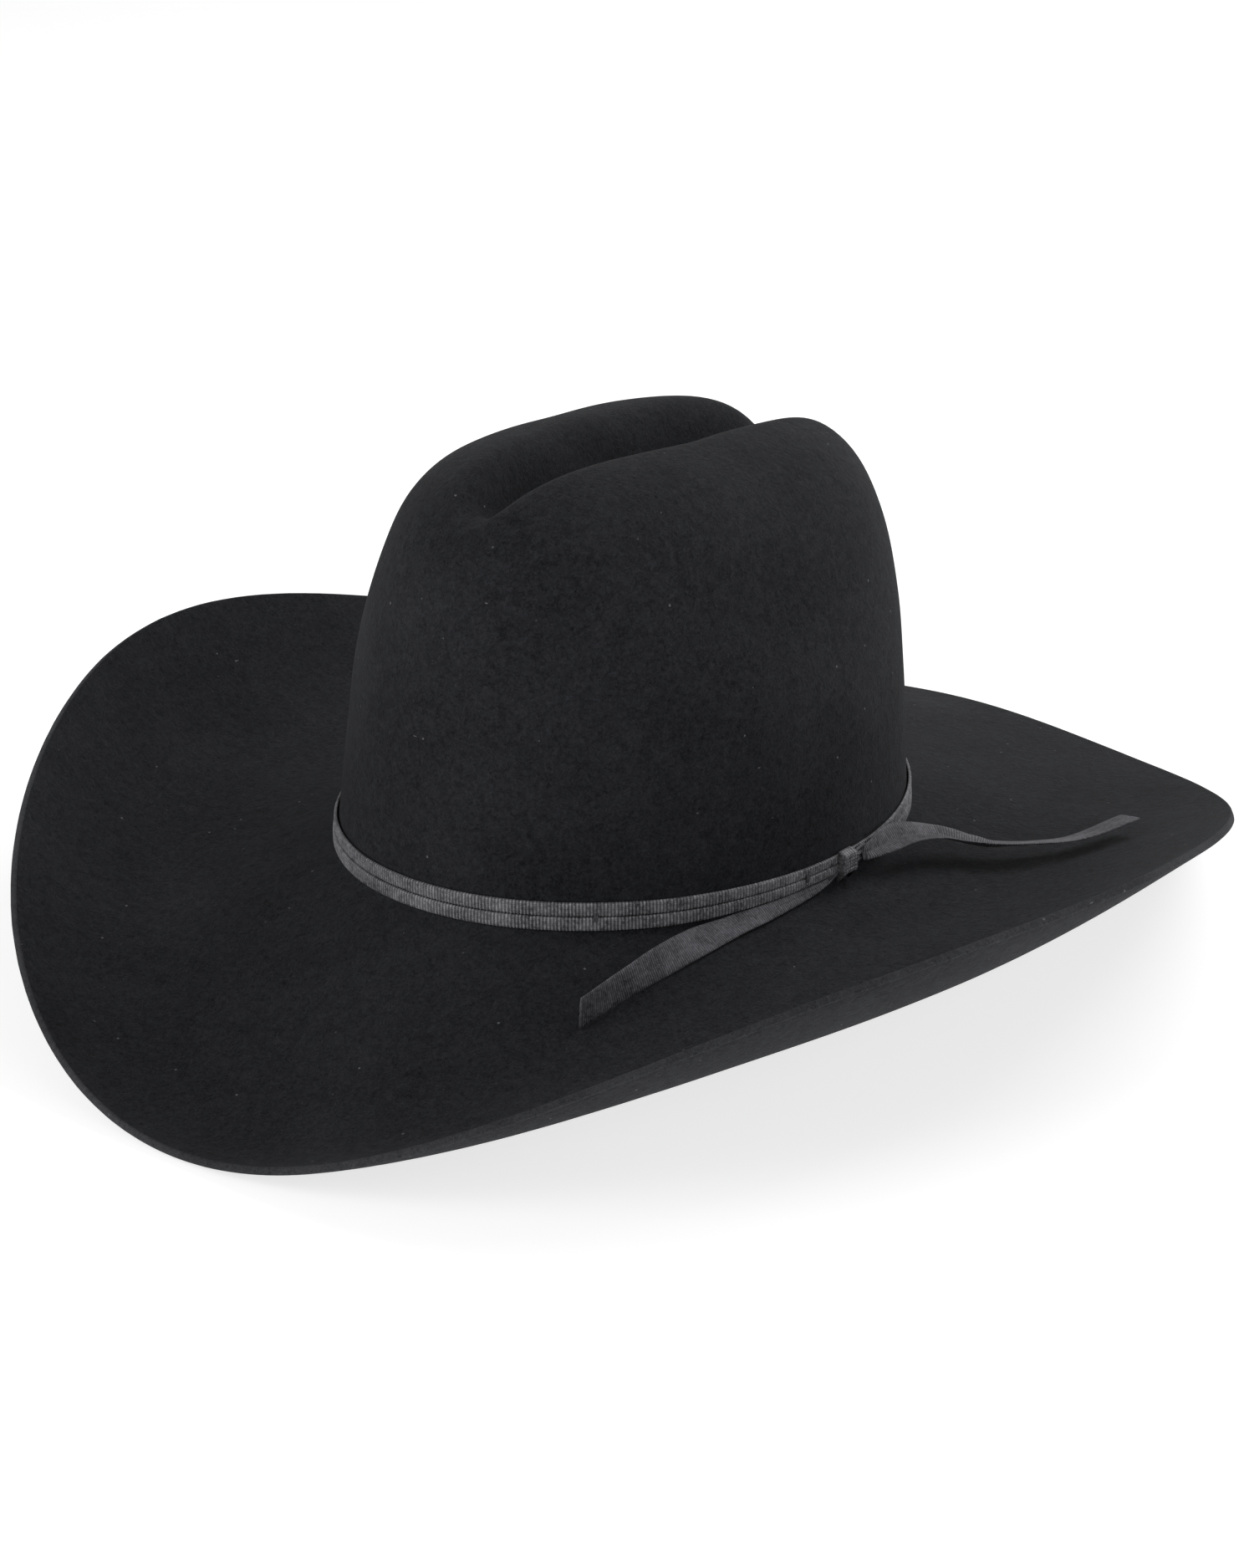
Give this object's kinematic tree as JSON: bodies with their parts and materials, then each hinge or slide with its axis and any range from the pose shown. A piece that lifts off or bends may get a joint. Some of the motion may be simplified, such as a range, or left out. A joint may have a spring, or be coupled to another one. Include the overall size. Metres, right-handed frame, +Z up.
{
  "type": "cowboy hat",
  "caption": "Black felt cowboy hat with a creased crown, a brim rolled up at the sides, a narrow ribbed ribbon band with a side bow and free ribbon ends, a sweatband and a lining",
  "frame": {"origin": "middle of the outline's rectangle, on the surface that the hat stands on", "axes": "+Z up, the front of the hat looks along -Y, the wearer's left and the bow are at +X"},
  "size_m": [0.388, 0.4106, 0.1607],
  "materials": {
    "felt": "soft black wool felt with a short nap and a little lint",
    "ribbon": "black cross-ribbed ribbon with a slight sheen",
    "thread": "black sewing thread",
    "leather": "black smooth leather with a stitched edge",
    "satin": "black lining satin",
    "cane": "plain split cane"
  },
  "bodies": {
    "hat": {"felt_body": "felt", "hatband_lower_row": "ribbon", "hatband_upper_row": "ribbon", "tack_stitch_front_left": "thread", "tack_stitch_left": "thread", "tack_stitch_right": "thread", "tack_stitch_back": "thread", "bow_keeper": "ribbon", "bow_pinch": "ribbon", "sweatband": "leather", "sweatband_reed": "cane", "reed_binding": "leather", "sweatband_seam_tab": "leather", "lining_side": "satin", "lining_piping": "satin", "lining_tip": "satin", "rear_bow_ribbon": "ribbon", "rear_bow_knot": "ribbon"},
    "front_tail": {"front_tail": "ribbon"},
    "rear_tail": {"rear_tail": "ribbon"}
  },
  "joints": [
    {"name": "front_tail_swing", "type": "hinge", "parent": "hat", "child": "front_tail", "pos_m": [0.08886, -0.00464, 0.03558], "axis": [-0.6392, 0.0302, 0.7684], "range_deg": [0, 60]},
    {"name": "rear_tail_swing", "type": "hinge", "parent": "hat", "child": "rear_tail", "pos_m": [0.08865, 0.01457, 0.03475], "axis": [0.6392, -0.0302, -0.7684], "range_deg": [0, 60]}
  ]
}
